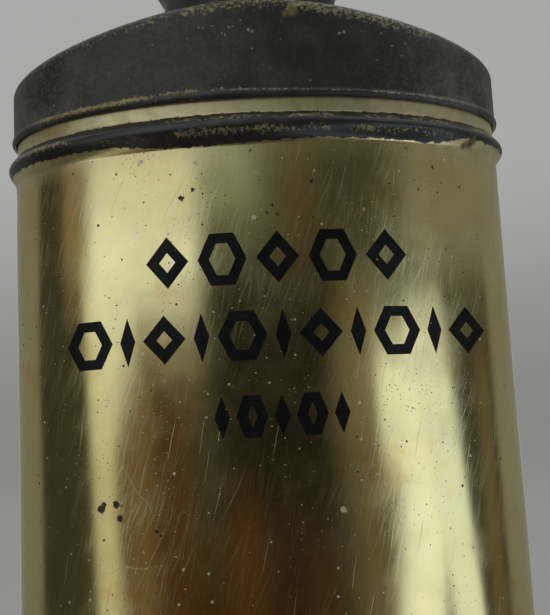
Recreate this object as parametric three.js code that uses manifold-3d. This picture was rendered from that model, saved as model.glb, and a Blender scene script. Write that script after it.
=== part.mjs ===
// A flat oval powder tin: a brass-lacquered body, a black japanned base, a black shoulder that pulls
// off its top, and on the shoulder's neck a sifter whose knurled cap turns to open and shut its holes.
// Millimetres, +Z up. The origin is the centre of the face the tin stands on, and -Y is the front.
import * as THREE from 'three';
import Module from 'manifold-3d';
import { mergeVertices } from 'three/addons/utils/BufferGeometryUtils.js';

const wasm = await Module();
wasm.setup();

// ---- Driving dimensions ----
const SHEET = 0.35; // lacquered tinplate
const HALF_WIDTH = 28.5; // the oval section of the body's outer face
const HALF_DEPTH = 15.1;
const SKIRT_Z = 84.15; // the lower edge of the shoulder's skirt

const BASE_BAND_TOP = 3; // the base's rim outside the body
const BASE_BULGE = 0.7;
const BASE_FLOOR_TOP = 2.6;
const BASE_CHANNEL = 0.5; // thickness of the metal under the body's lower edge
const BASE_PANEL_INSET = 4.5; // the pressed panel in the floor
const BASE_PANEL_RISE = 0.6;

const BEAD_BOTTOM = 79.95;
const BEAD_TOP = 82.95;
const BEAD_BULGE = 0.85;
const SPIGOT_INSET = 0.15; // the body's mouth, which the skirt slips over
const SPIGOT_TOP = 88.2;
const SEAM_HALF_WIDTH = 3; // the folded side seam, up the back
const SEAM_RAISE = 0.3;
const SEAM_BOTTOM = 3.5;
const SEAM_TOP = 79.4;

const SKIRT_OUTSET = 0.25; // how far the shoulder's wall stands outside the body's
const VAULT_RISE = 11.4; // the shoulder's height over its skirt edge, at mid-width
const VAULT_SLOPE = 0.21; // how steeply it falls towards the ends
const VAULT_CROWN = 10; // half the width of its rounded crown
const RIDGE_RADIUS = 1.2;
const HEM_HEIGHT = 1.2;
const HEM_BULGE = 0.2;

const SPOUT_RADIUS = 10; // the upturned lip round the shoulder's mouth
const SPOUT_FILLET = 1.5;
const SPOUT_TOP = 101;
const NECK_RADIUS = 10.4;
const NECK_BOTTOM = 97.4;
const NECK_FLARE_BOTTOM = 101.2;
const NECK_FLARE_TOP = 106.2;
const NECK_TOP_RADIUS = 12.3;
const NECK_TOP = 108.8;

const PLATE_TOP = 109.25; // the fixed perforated plate
const PLATE_RADIUS = 12.7;
const PLATE_SKIRT_BOTTOM = 107.2;
const CAP_RADIUS = 13.2; // the turning cap
const CAP_BOTTOM = 106.3;
const CAP_DISC_BOTTOM = 109.35;
const CAP_RIM_TOP = 110.6;
const CAP_RIM_WIDTH = 1;
const KNURLS = 36;
const KNURL_DEPTH = 0.35;

const HOLES = 6;
const HOLE_RADIUS = 1.15;
const HOLE_CIRCLE = 8.2;
const CAP_TRAVEL = Math.PI / HOLES; // shut to open: half the spacing of the holes
const PIP_RADIUS = 0.6; // the stop pressed up in the plate, in a slot in the cap
const PIP_HEIGHT = 0.6;
const PIP_CIRCLE = 4.8;
const PIP_CLEARANCE = 0.15;
const PIVOT_HOLE_RADIUS = 1.3;
const RIVET_RADIUS = 1.2;
const RIVET_HEAD_RADIUS = 2.3;
const RIVET_HEAD_RISE = 0.9;
const RIVET_TAIL_RADIUS = 1.9;
const RIVET_TAIL_HEIGHT = 0.5;
const WASHER_RADIUS = 3;
const GAP = 0.1; // between parts that lie on each other

const OVAL_STEPS = 60;
const ROUND_STEPS = 40;
const ARC_STEPS = 3;

const BRASS = { color: 0x9c8b4c, roughness: 0.3, metalness: 0.9 };
const JAPAN = { color: 0x24252a, roughness: 0.55, metalness: 0.2 };
const STEEL = { color: 0x8a8880, roughness: 0.4, metalness: 0.9 };

// ---- Outlines round the axis ----
function turns(count) {
  return Array.from({ length: count }, (_, i) => (2 * Math.PI * i) / count);
}

const SEAM_ANGLE = Math.asin(SEAM_HALF_WIDTH / HALF_WIDTH);
const SEAM_EDGE = 0.012;

// The oval's angles, with two more at the foot of each side of the seam so that its sides are steep.
function ovalTurns() {
  const back = Math.PI / 2;
  const seam = [-SEAM_ANGLE - SEAM_EDGE, -SEAM_ANGLE, SEAM_ANGLE, SEAM_ANGLE + SEAM_EDGE];
  const clear = SEAM_ANGLE + 3 * SEAM_EDGE;
  const fromBack = (turn) => Math.abs(turn - back);
  const rest = turns(OVAL_STEPS).filter((turn) => fromBack(turn) > clear || fromBack(turn) < SEAM_EDGE);
  return [...rest, ...seam.map((s) => back + s)].sort((one, other) => one - other);
}
const OVAL = ovalTurns();
const ROUND = turns(ROUND_STEPS);

function ovalPoint(turn, offset) {
  const along = new THREE.Vector2(Math.cos(turn), Math.sin(turn));
  const normal = new THREE.Vector2(along.x / HALF_WIDTH, along.y / HALF_DEPTH).normalize();
  const onFace = new THREE.Vector2(HALF_WIDTH * along.x, HALF_DEPTH * along.y);
  return onFace.addScaledVector(normal, offset);
}

function roundPoint(turn, radius) {
  return new THREE.Vector2(radius * Math.cos(turn), radius * Math.sin(turn));
}

// One ring of points at a height, which may be a number or a function of the point in plan.
function ring(planPoints, height) {
  const heightAt = typeof height === 'number' ? () => height : height;
  return planPoints.map((p) => new THREE.Vector3(p.x, p.y, heightAt(p)));
}

function ovalRing(offset, height) {
  return ring(OVAL.map((turn) => ovalPoint(turn, offset)), height);
}

function roundRing(radius, height, angles = ROUND) {
  return ring(angles.map((turn) => roundPoint(turn, radius)), height);
}

function pole(height) {
  return [new THREE.Vector3(0, 0, height)];
}

// ---- Solids ----
// Joins rings into one closed skin. They run up the outside and down the inside, and the last joins
// the first, unless the first and last are poles on the axis.
function loft(rings) {
  const count = Math.max(...rings.map((points) => points.length));
  const first = [];
  let total = 0;
  for (const points of rings) {
    first.push(total);
    total += points.length;
  }
  const index = [];
  const at = (r, i) => first[r] + (rings[r].length === 1 ? 0 : i % count);
  const face = (...corners) => {
    if (new Set(corners).size === 3) index.push(...corners);
  };
  const closed = rings[0].length > 1;
  const spans = closed ? rings.length : rings.length - 1;
  for (let r = 0; r < spans; r++) {
    const next = (r + 1) % rings.length;
    for (let i = 0; i < count; i++) {
      face(at(r, i), at(r, i + 1), at(next, i + 1));
      face(at(r, i), at(next, i + 1), at(next, i));
    }
  }
  const geometry = new THREE.BufferGeometry();
  const flat = rings.flat().flatMap((p) => [p.x, p.y, p.z]);
  geometry.setAttribute('position', new THREE.Float32BufferAttribute(flat, 3));
  geometry.setIndex(index);
  geometry.computeVertexNormals();
  return geometry;
}

function toManifold(geometry) {
  const bare = geometry.clone();
  bare.deleteAttribute('normal');
  bare.deleteAttribute('uv');
  const merged = mergeVertices(bare, 1e-4);
  const vertProperties = new Float32Array(merged.attributes.position.array);
  const triVerts = new Uint32Array(merged.index.array);
  return new wasm.Manifold(new wasm.Mesh({ numProp: 3, vertProperties, triVerts }));
}

function fromManifold(solid) {
  const made = solid.getMesh();
  const geometry = new THREE.BufferGeometry();
  geometry.setAttribute('position', new THREE.BufferAttribute(made.vertProperties, 3));
  geometry.setIndex(new THREE.BufferAttribute(made.triVerts, 1));
  geometry.computeVertexNormals();
  return geometry;
}

function cutAway(geometry, tools) {
  const whole = toManifold(geometry);
  return fromManifold(tools.reduce((solid, tool) => solid.subtract(toManifold(tool)), whole));
}

function drill(radius, x, y, bottom, top) {
  const tool = new THREE.CylinderGeometry(radius, radius, top - bottom, 12);
  tool.rotateX(Math.PI / 2);
  tool.translate(x, y, (bottom + top) / 2);
  return tool;
}

// Drills for the ring of powder holes, turned by an angle from the front.
function holeDrills(turned, bottom, top) {
  return turns(HOLES).map((turn) => {
    const p = roundPoint(turn + turned, HOLE_CIRCLE);
    return drill(HOLE_RADIUS, p.x, p.y, bottom, top);
  });
}

function piece(name, geometry, look) {
  const mesh = new THREE.Mesh(geometry, new THREE.MeshStandardMaterial(look));
  mesh.name = name;
  return mesh;
}

// ---- The body ----
// The offset of the body's face through its bead: a smooth swell that stands out by BEAD_BULGE.
function beadRings(sheetOffset) {
  const rings = [];
  for (let i = 0; i <= 2 * ARC_STEPS; i++) {
    const part = i / (2 * ARC_STEPS);
    const base = part > 0.5 ? -SPIGOT_INSET * (2 * part - 1) : 0;
    const swell = (BEAD_BULGE - Math.min(base, 0) * 0.5) * Math.sin(Math.PI * part) ** 0.8;
    const offset = base + swell + sheetOffset;
    rings.push(ovalRing(offset, BEAD_BOTTOM + part * (BEAD_TOP - BEAD_BOTTOM)));
  }
  return rings;
}

// A ring of the outer face between the base and the bead, where the folded seam stands out.
function seamRing(height, raise) {
  const back = Math.PI / 2;
  const points = OVAL.map((turn) => ovalPoint(turn, Math.abs(turn - back) <= SEAM_ANGLE ? raise : 0));
  return ring(points, height);
}

function bodyWall() {
  const bottom = BASE_CHANNEL + GAP;
  const outer = [
    ovalRing(0, bottom),
    seamRing(SEAM_BOTTOM, 0),
    seamRing(SEAM_BOTTOM + SEAM_RAISE, SEAM_RAISE),
    seamRing(SEAM_TOP - SEAM_RAISE, SEAM_RAISE),
    seamRing(SEAM_TOP, 0),
    ...beadRings(0),
    ovalRing(-SPIGOT_INSET, SPIGOT_TOP),
  ];
  const inner = [
    ovalRing(-SPIGOT_INSET - SHEET, SPIGOT_TOP),
    ...beadRings(-SHEET).reverse(),
    ovalRing(-SHEET, bottom),
  ];
  return piece('body_wall', loft([...outer, ...inner]), BRASS);
}

function basePlate() {
  const inside = -SHEET - GAP; // the channel's inner face, inside the body wall
  const channelWall = inside - SHEET;
  const panel = channelWall - BASE_PANEL_INSET;
  const floorBottom = BASE_FLOOR_TOP - SHEET;
  const rings = [
    pole(floorBottom + BASE_PANEL_RISE),
    ovalRing(panel - 1, floorBottom + BASE_PANEL_RISE),
    ovalRing(panel, floorBottom),
    ovalRing(channelWall - 0.4, floorBottom),
    ovalRing(channelWall, floorBottom - 0.4),
    ovalRing(channelWall, 0.3),
    ovalRing(channelWall + 0.3, 0),
    ovalRing(BASE_BULGE - 0.4, 0),
    ovalRing(BASE_BULGE - 0.1, 0.3),
    ovalRing(BASE_BULGE, 0.8),
    ovalRing(BASE_BULGE, BASE_BAND_TOP - 0.6),
    ovalRing(BASE_BULGE - 0.2, BASE_BAND_TOP - 0.15),
    ovalRing(GAP + 0.2, BASE_BAND_TOP),
    ovalRing(GAP, BASE_BAND_TOP - 0.1),
    ovalRing(GAP, BASE_CHANNEL),
    ovalRing(inside, BASE_CHANNEL),
    ovalRing(inside, BASE_FLOOR_TOP - 0.3),
    ovalRing(inside - 0.3, BASE_FLOOR_TOP),
    ovalRing(panel, BASE_FLOOR_TOP),
    ovalRing(panel - 1, BASE_FLOOR_TOP + BASE_PANEL_RISE),
    pole(BASE_FLOOR_TOP + BASE_PANEL_RISE),
  ];
  return piece('base_plate', loft(rings), JAPAN);
}

// ---- The shoulder ----
// The height of the shoulder's vaulted top, which falls from mid-width towards both ends.
function vault(p) {
  const fall = Math.hypot(p.x, VAULT_CROWN) - VAULT_CROWN;
  return SKIRT_Z + VAULT_RISE - VAULT_SLOPE * fall;
}

// A ring on the vaulted top, a share of the way in from the ridge to the foot of the spout.
function vaultRing(share, ridgeOffset, footRadius, drop) {
  const points = OVAL.map((turn) => ovalPoint(turn, ridgeOffset).lerp(roundPoint(turn, footRadius), share));
  return ring(points, (p) => vault(p) - drop);
}

// The rounded ridge between the wall and the vaulted top.
function ridgeRings(outset, radius, drop) {
  const rings = [];
  for (let i = 0; i <= ARC_STEPS; i++) {
    const lean = (Math.PI / 2) * (i / ARC_STEPS);
    const offset = outset - radius * (1 - Math.cos(lean));
    rings.push(ovalRing(offset, (p) => vault(p) - drop - radius * (1 - Math.sin(lean))));
  }
  return rings;
}

// The fillet from the vaulted top up into the spout.
function spoutRings(radius, fillet, drop) {
  const rings = [];
  for (let i = 0; i <= ARC_STEPS; i++) {
    const lean = (Math.PI / 2) * (i / ARC_STEPS);
    const points = OVAL.map((turn) => roundPoint(turn, radius + fillet * (1 - Math.sin(lean))));
    rings.push(ring(points, (p) => vault(p) - drop + fillet * (1 - Math.cos(lean))));
  }
  return rings;
}

function spoutTopRing(radius, height) {
  return ring(OVAL.map((turn) => roundPoint(turn, radius)), height);
}

function shoulder() {
  const shares = [0.3, 0.65];
  const ridgeIn = SKIRT_OUTSET - RIDGE_RADIUS;
  const spoutFoot = SPOUT_RADIUS + SPOUT_FILLET;
  const hemFace = SKIRT_OUTSET + HEM_BULGE;
  const outer = [
    ovalRing(SKIRT_OUTSET, SKIRT_Z),
    ovalRing(hemFace, SKIRT_Z + HEM_HEIGHT * 0.25),
    ovalRing(hemFace, SKIRT_Z + HEM_HEIGHT * 0.6),
    ovalRing(SKIRT_OUTSET, SKIRT_Z + HEM_HEIGHT),
    ...ridgeRings(SKIRT_OUTSET, RIDGE_RADIUS, 0),
    ...shares.map((share) => vaultRing(share, ridgeIn, spoutFoot, 0)),
    ...spoutRings(SPOUT_RADIUS, SPOUT_FILLET, 0),
    spoutTopRing(SPOUT_RADIUS, SPOUT_TOP),
  ];
  const mouth = SPOUT_RADIUS - SHEET;
  const inner = [
    spoutTopRing(mouth, SPOUT_TOP),
    ...spoutRings(mouth, SPOUT_FILLET + SHEET, SHEET).reverse(),
    ...shares.map((share) => vaultRing(share, ridgeIn, spoutFoot, SHEET)).reverse(),
    ...ridgeRings(SKIRT_OUTSET - SHEET, RIDGE_RADIUS - SHEET, SHEET).reverse(),
    ovalRing(SKIRT_OUTSET - SHEET, SKIRT_Z),
  ];
  return piece('shoulder', loft([...outer, ...inner]), JAPAN);
}

// The neck: a turned collar over the spout, which flares out to carry the sifter.
function neck() {
  const flare = (sheet) => {
    const rings = [];
    for (let i = 0; i <= 2 * ARC_STEPS; i++) {
      const part = i / (2 * ARC_STEPS);
      const spread = THREE.MathUtils.smoothstep(part, 0, 1);
      const radius = THREE.MathUtils.lerp(NECK_RADIUS, NECK_TOP_RADIUS, spread);
      const height = THREE.MathUtils.lerp(NECK_FLARE_BOTTOM, NECK_FLARE_TOP, part);
      rings.push(roundRing(radius - sheet, height));
    }
    return rings;
  };
  const outer = [roundRing(NECK_RADIUS, NECK_BOTTOM), ...flare(0), roundRing(NECK_TOP_RADIUS, NECK_TOP)];
  const inner = [
    roundRing(NECK_TOP_RADIUS - SHEET, NECK_TOP),
    ...flare(SHEET).reverse(),
    roundRing(NECK_RADIUS - SHEET, NECK_BOTTOM),
  ];
  return piece('neck', loft([...outer, ...inner]), JAPAN);
}

// ---- The sifter ----
function sifterPlate() {
  const discBottom = PLATE_TOP - SHEET;
  const pip = roundPoint(-Math.PI / 2, PIP_CIRCLE);
  const rings = [
    pole(discBottom),
    roundRing(PLATE_RADIUS - SHEET, discBottom),
    roundRing(PLATE_RADIUS - SHEET, PLATE_SKIRT_BOTTOM),
    roundRing(PLATE_RADIUS, PLATE_SKIRT_BOTTOM),
    roundRing(PLATE_RADIUS, PLATE_TOP - 0.15),
    roundRing(PLATE_RADIUS - 0.15, PLATE_TOP),
    pole(PLATE_TOP),
  ];
  const stop = new THREE.CylinderGeometry(PIP_RADIUS * 0.8, PIP_RADIUS, SHEET / 2 + PIP_HEIGHT, 12);
  stop.rotateX(Math.PI / 2);
  stop.translate(pip.x, pip.y, PLATE_TOP + (PIP_HEIGHT - SHEET / 2) / 2);
  const below = discBottom - 1;
  const above = PLATE_TOP + 1;
  const tools = [...holeDrills(0, below, above), drill(PIVOT_HOLE_RADIUS, 0, 0, below, above)];
  const solid = toManifold(loft(rings)).add(toManifold(stop));
  return piece('sifter_plate', cutAway(fromManifold(solid), tools), BRASS);
}

// The slot that the stop pip runs in. The pip stands at its start with the cap shut.
function slotTool(bottom, top) {
  const half = PIP_RADIUS + PIP_CLEARANCE;
  const start = -Math.PI / 2 - CAP_TRAVEL;
  const end = -Math.PI / 2;
  const from = roundPoint(start, PIP_CIRCLE);
  const to = roundPoint(end, PIP_CIRCLE);
  const depth = top - bottom;
  const outline = new THREE.Shape();
  outline.absarc(0, 0, PIP_CIRCLE + half, start, end, false);
  outline.absarc(to.x, to.y, half, end, end + Math.PI, false);
  outline.absarc(0, 0, PIP_CIRCLE - half, end, start, true);
  outline.absarc(from.x, from.y, half, start + Math.PI, start + 2 * Math.PI, false);
  const tool = new THREE.ExtrudeGeometry(outline, { depth, bevelEnabled: false, curveSegments: 6 });
  tool.translate(0, 0, bottom);
  return tool;
}

function sifterCap() {
  const angles = turns(2 * KNURLS);
  const knurled = (height) => {
    const points = angles.map((turn, i) => roundPoint(turn, CAP_RADIUS + (i % 2 ? 0 : KNURL_DEPTH)));
    return ring(points, height);
  };
  const plain = (radius, height) => roundRing(radius, height, angles);
  const discTop = CAP_DISC_BOTTOM + SHEET;
  const rings = [
    pole(CAP_DISC_BOTTOM),
    plain(CAP_RADIUS - SHEET, CAP_DISC_BOTTOM),
    plain(CAP_RADIUS - SHEET, CAP_BOTTOM),
    plain(CAP_RADIUS, CAP_BOTTOM),
    plain(CAP_RADIUS, CAP_BOTTOM + 0.4),
    knurled(CAP_BOTTOM + 0.7),
    knurled(CAP_RIM_TOP - 1),
    plain(CAP_RADIUS, CAP_RIM_TOP - 0.7),
    plain(CAP_RADIUS - 0.1, CAP_RIM_TOP - 0.3),
    plain(CAP_RADIUS - CAP_RIM_WIDTH / 2, CAP_RIM_TOP),
    plain(CAP_RADIUS - CAP_RIM_WIDTH, CAP_RIM_TOP - 0.3),
    plain(CAP_RADIUS - CAP_RIM_WIDTH - 0.3, discTop),
    pole(discTop),
  ];
  const below = CAP_DISC_BOTTOM - 1;
  const above = discTop + 1;
  const tools = [
    ...holeDrills(-CAP_TRAVEL, below, above),
    drill(PIVOT_HOLE_RADIUS, 0, 0, below, above),
    slotTool(below, above),
  ];
  return piece('sifter_cap', cutAway(loft(rings), tools), JAPAN);
}

function lathe(profile) {
  const geometry = new THREE.LatheGeometry(profile.map(([r, z]) => new THREE.Vector2(r, z)), 24);
  geometry.rotateX(Math.PI / 2);
  return geometry;
}

function rivet() {
  const headBottom = CAP_DISC_BOTTOM + SHEET + GAP;
  const headEdge = headBottom + 0.1;
  const tailTop = PLATE_TOP - 2 * (SHEET + GAP);
  const tailBottom = tailTop - RIVET_TAIL_HEIGHT;
  const dome = [];
  for (let i = 0; i <= ARC_STEPS; i++) {
    const lean = (Math.PI / 2) * (i / ARC_STEPS);
    const height = headEdge + (headBottom + RIVET_HEAD_RISE - headEdge) * Math.sin(lean);
    dome.push([RIVET_HEAD_RADIUS * Math.cos(lean), height]);
  }
  dome[ARC_STEPS][0] = 0;
  const profile = [
    [0, tailBottom],
    [RIVET_TAIL_RADIUS - 0.3, tailBottom],
    [RIVET_TAIL_RADIUS, tailBottom + 0.25],
    [RIVET_TAIL_RADIUS, tailTop],
    [RIVET_RADIUS, tailTop],
    [RIVET_RADIUS, headBottom],
    [RIVET_HEAD_RADIUS, headBottom],
    ...dome,
  ];
  return piece('rivet', lathe(profile), STEEL);
}

function rivetWasher() {
  const top = PLATE_TOP - SHEET - GAP;
  const profile = [
    [PIVOT_HOLE_RADIUS, top - SHEET],
    [WASHER_RADIUS, top - SHEET],
    [WASHER_RADIUS, top],
    [PIVOT_HOLE_RADIUS, top],
    [PIVOT_HOLE_RADIUS, top - SHEET],
  ];
  return piece('rivet_washer', lathe(profile), STEEL);
}

const tin = new THREE.Group();
tin.add(bodyWall(), basePlate(), shoulder(), neck(), sifterPlate(), sifterCap(), rivet(), rivetWasher());

export default tin;
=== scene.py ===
"""A flat oval powder tin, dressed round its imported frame: fine meshes, materials and a plain studio.

Everything is in metres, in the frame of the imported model: +Z up, the tin standing on z = 0 at the
origin, its printed front facing -Y.
"""
import math

import bpy
import numpy as np
from mathutils import Matrix, Vector


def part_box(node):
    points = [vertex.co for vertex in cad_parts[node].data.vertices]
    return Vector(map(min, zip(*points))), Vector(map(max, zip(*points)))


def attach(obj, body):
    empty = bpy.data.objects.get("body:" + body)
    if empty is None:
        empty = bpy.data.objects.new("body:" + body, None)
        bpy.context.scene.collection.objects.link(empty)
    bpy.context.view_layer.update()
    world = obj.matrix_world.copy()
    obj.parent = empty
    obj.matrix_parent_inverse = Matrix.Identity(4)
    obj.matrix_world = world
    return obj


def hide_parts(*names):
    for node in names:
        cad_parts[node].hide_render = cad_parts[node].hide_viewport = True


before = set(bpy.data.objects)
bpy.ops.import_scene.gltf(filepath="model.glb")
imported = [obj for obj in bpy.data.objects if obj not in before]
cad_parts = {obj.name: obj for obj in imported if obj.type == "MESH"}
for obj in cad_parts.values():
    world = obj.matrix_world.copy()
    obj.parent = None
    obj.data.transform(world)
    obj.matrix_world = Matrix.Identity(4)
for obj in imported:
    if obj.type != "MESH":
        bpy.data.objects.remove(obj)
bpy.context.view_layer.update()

MM = 0.001

# ---- Sizes, taken from the frame wherever it holds them ----
wall_low, wall_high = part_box("body_wall")
shoulder_low, shoulder_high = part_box("shoulder")
neck_low, neck_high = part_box("neck")
plate_low, plate_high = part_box("sifter_plate")
cap_low, cap_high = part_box("sifter_cap")
base_low, base_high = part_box("base_plate")
rivet_low, rivet_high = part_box("rivet")
washer_low, washer_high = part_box("rivet_washer")

SHEET = 0.35 * MM
HEM_BULGE = 0.2 * MM
HEM_HEIGHT = 1.2 * MM
BASE_BULGE = 0.7 * MM
HALF_WIDTH = base_high.x - BASE_BULGE
HALF_DEPTH = base_high.y - BASE_BULGE
SKIRT_Z = shoulder_low.z
SKIRT_OUTSET = shoulder_high.x - HEM_BULGE - HALF_WIDTH

BEAD_BULGE = wall_high.x - HALF_WIDTH
BEAD_BOTTOM = SKIRT_Z - 4.2 * MM
BEAD_TOP = SKIRT_Z - 1.2 * MM
SPIGOT_INSET = 0.15 * MM
SEAM_HALF_WIDTH = 3 * MM
SEAM_RAISE = 0.3 * MM

VAULT_RISE = 11.4 * MM
VAULT_SLOPE = 0.21
VAULT_CROWN = 10 * MM
RIDGE_RADIUS = 1.2 * MM
SPOUT_RADIUS = 10 * MM
SPOUT_FILLET = 1.5 * MM

NECK_RADIUS = 10.4 * MM
NECK_FLARE_BOTTOM = neck_low.z + 3.8 * MM
NECK_FLARE_TOP = neck_low.z + 8.8 * MM
HOLES = 6
HOLE_RADIUS = 1.15 * MM
HOLE_CIRCLE = 8.2 * MM
CAP_TRAVEL = math.pi / HOLES
PIP_RADIUS = 0.6 * MM
PIP_CIRCLE = 4.8 * MM
PIVOT_RADIUS = 1.3 * MM
KNURLS = 36
KNURL_DEPTH = 0.35 * MM
CAP_RADIUS = cap_high.x - KNURL_DEPTH

OVAL_STEPS = 512
ROUND_STEPS = 288
ARC_STEPS = 10


# ---- Meshes ----
def turns(count):
    return np.arange(count) * (2 * math.pi / count)


OVAL = turns(OVAL_STEPS)
ROUND = turns(ROUND_STEPS)


def oval(offset=0.0):
    """The oval outline in plan, moved out along its normal."""
    points = np.stack([HALF_WIDTH * np.cos(OVAL), HALF_DEPTH * np.sin(OVAL)], 1)
    normals = np.stack([np.cos(OVAL) / HALF_WIDTH, np.sin(OVAL) / HALF_DEPTH], 1)
    normals /= np.linalg.norm(normals, axis=1, keepdims=True)
    return points + normals * np.asarray(offset).reshape(-1, 1)


# Turns from the middle of the front to the middle of the back either way, and how far round each is.
SWING = np.linspace(-math.pi, math.pi, 4097)
ARC_LENGTHS = np.hypot(HALF_WIDTH * np.cos(SWING), HALF_DEPTH * np.sin(SWING)) * (SWING[1] - SWING[0])
ROUND_OVAL = np.cumsum(ARC_LENGTHS) - np.sum(ARC_LENGTHS[: len(SWING) // 2 + 1])


def circle(radius, angles=ROUND):
    return np.stack([radius * np.cos(angles), radius * np.sin(angles)], 1)


def ring(plan, height):
    """Points in plan raised to a height, which may be a number or one number a point."""
    return np.column_stack([plan, np.broadcast_to(height, len(plan))])


def pole(height):
    return np.array([[0.0, 0.0, height]])


def arc(start, end, steps=ARC_STEPS):
    return np.linspace(start, end, steps + 1)


def rounded(corners, radius):
    """An outline through these (across, up) corners, each but the first and last rounded off."""
    line = [np.array(corners[0], float)]
    for before, corner, after in zip(corners, corners[1:], corners[2:]):
        before, corner, after = (np.array(p, float) for p in (before, corner, after))
        back, on = before - corner, after - corner
        reach = min(radius, np.linalg.norm(back) * 0.45, np.linalg.norm(on) * 0.45)
        start = corner + back / np.linalg.norm(back) * reach
        end = corner + on / np.linalg.norm(on) * reach
        for t in np.linspace(0, 1, 5):
            line.append((1 - t) ** 2 * start + 2 * t * (1 - t) * corner + t * t * end)
    line.append(np.array(corners[-1], float))
    return line


def loft(name, rings):
    """Joins rings into one closed skin: up the outside, down the inside, and back to the first.
    Rings of one point at the start and end are poles, and close it there."""
    count = max(len(r) for r in rings)
    first = np.cumsum([0] + [len(r) for r in rings])
    closed = len(rings[0]) > 1
    along = np.arange(count)
    onward = (along + 1) % count
    faces = []
    for r in range(len(rings) if closed else len(rings) - 1):
        n = (r + 1) % len(rings)
        low, high = first[r], first[n]
        if len(rings[r]) == 1:
            faces += np.column_stack([np.full(count, low), high + onward, high + along]).tolist()
        elif len(rings[n]) == 1:
            faces += np.column_stack([low + along, low + onward, np.full(count, high)]).tolist()
        else:
            quads = [low + along, low + onward, high + onward, high + along]
            faces += np.column_stack(quads).tolist()
    mesh = bpy.data.meshes.new(name)
    mesh.from_pydata(np.vstack(rings).tolist(), [], faces)
    mesh.validate()
    mesh.shade_smooth()
    piece = bpy.data.objects.new(name, mesh)
    bpy.context.scene.collection.objects.link(piece)
    return piece


def sheet_rings(rings, thickness=SHEET):
    """The closed section of a sheet whose outer face is these rings, with rounded edges."""
    outer = np.array(rings)
    across = np.roll(outer, -1, 1) - np.roll(outer, 1, 1)
    up = np.gradient(outer, axis=0)
    normal = np.cross(across, up)
    normal /= np.linalg.norm(normal, axis=2, keepdims=True)
    half = thickness / 2
    middle = outer - normal * half

    def edge(row, beyond):
        """The rounded edge at a row, from the outer face round to the inner one."""
        beyond = beyond / np.linalg.norm(beyond, axis=1, keepdims=True)
        swing = np.linspace(0, math.pi, 7)[1:-1]
        return [
            middle[row] + normal[row] * half * math.cos(a) + beyond * half * math.sin(a)
            for a in swing
        ]

    top = edge(-1, up[-1])
    bottom = edge(0, -up[0])
    inner = middle - normal * half
    return [*outer, *top, *inner[::-1], *bottom[::-1]]


def cut(piece, tools):
    """Cuts the tools, which are closed meshes, out of a piece and throws them away."""
    for tool in tools:
        modifier = piece.modifiers.new("cut", "BOOLEAN")
        modifier.operation = "DIFFERENCE"
        modifier.solver = "EXACT"
        modifier.object = tool
    graph = bpy.context.evaluated_depsgraph_get()
    piece.data = bpy.data.meshes.new_from_object(piece.evaluated_get(graph))
    piece.modifiers.clear()
    for tool in tools:
        bpy.data.objects.remove(tool)
    piece.data.shade_smooth()
    return piece


def drill(radius, x, y, low, high):
    plan = circle(radius, turns(40)) + (x, y)
    centre_low, centre_high = np.array([[x, y, low]]), np.array([[x, y, high]])
    return loft("drill", [centre_low, ring(plan, low), ring(plan, high), centre_high])


def sharp_edges(piece, degrees=35):
    piece.data.set_sharp_from_angle(angle=math.radians(degrees))


def store(piece, name, values):
    """Keeps one number a vertex, for the piece's material to read."""
    attribute = piece.data.attributes.new(name, "FLOAT", "POINT")
    attribute.data.foreach_set("value", np.asarray(values, np.float32))


def around_at(x):
    """The distance round the oval, from the middle of its front, of a point at this x on the front."""
    turn = np.arcsin(np.clip(np.asarray(x) / HALF_WIDTH, -1, 1))
    return np.interp(turn, SWING, ROUND_OVAL)


def unroll(piece):
    """Keeps the distance round the oval at each face corner, so that marks lie flat on the sheet."""
    points = vertices(piece)
    turn = np.arctan2(points[:, 0] / HALF_WIDTH, -points[:, 1] / HALF_DEPTH)
    corners = np.zeros(len(piece.data.loops), np.int32)
    piece.data.loops.foreach_get("vertex_index", corners)
    around = np.interp(turn, SWING, ROUND_OVAL)[corners].reshape(-1, 4)
    split = np.ptp(around, axis=1, keepdims=True) > ROUND_OVAL[-1]
    around = np.where(split & (around < 0), around + 2 * ROUND_OVAL[-1], around)
    attribute = piece.data.attributes.new("around", "FLOAT", "CORNER")
    attribute.data.foreach_set("value", (around.ravel() / MM).astype(np.float32))


def vertices(piece):
    flat = np.zeros(len(piece.data.vertices) * 3)
    piece.data.vertices.foreach_get("co", flat)
    return flat.reshape(-1, 3)


def smooth(low, high, x):
    t = np.clip((x - low) / (high - low), 0, 1)
    return t * t * (3 - 2 * t)


# ---- The body ----
def unevenness(points):
    """How far hand-worn sheet stands off its true surface: slow waves, under a tenth of a millimetre."""
    x, z = points[:, 0] / MM, points[:, 2] / MM
    waves = 0.030 * np.sin(x / 5.1 + 0.9 * np.sin(z / 17 + 0.4) + 1.3)
    waves += 0.022 * np.sin(z / 7.3 + x / 11 + 0.7)
    waves += 0.014 * np.sin(x / 2.9 - z / 9.7 + 2.1) * np.sin(z / 12.1)
    return waves * MM


def bead_foot(across):
    """The height of the bead's lower edge, which is rolled a little higher towards +X."""
    return BEAD_BOTTOM - 0.7 * MM + 0.4 * MM * smooth(-2 * MM, 8 * MM, across)


def bead_offset(height):
    """How far the wall stands off the plain oval at a height, through the bead and the mouth,
    one number for each point of the oval."""
    middle = (BEAD_BOTTOM + BEAD_TOP) / 2 - 0.15 * MM
    foot = bead_foot(HALF_WIDTH * np.cos(OVAL))
    reach = np.where(height < middle, middle - foot, BEAD_TOP - 0.05 * MM - middle)
    share = np.clip((height - middle) / reach, -1, 1)
    inset = -SPIGOT_INSET * smooth(middle, BEAD_TOP + 0.1 * MM, height)
    steepness = np.where(height < middle, 0.95, 0.7)
    swell = (BEAD_BULGE - 0.01 * MM) * (0.5 + 0.5 * np.cos(math.pi * share)) ** steepness
    return inset + swell - 0.5 * inset * (1 - np.abs(share))


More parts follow.
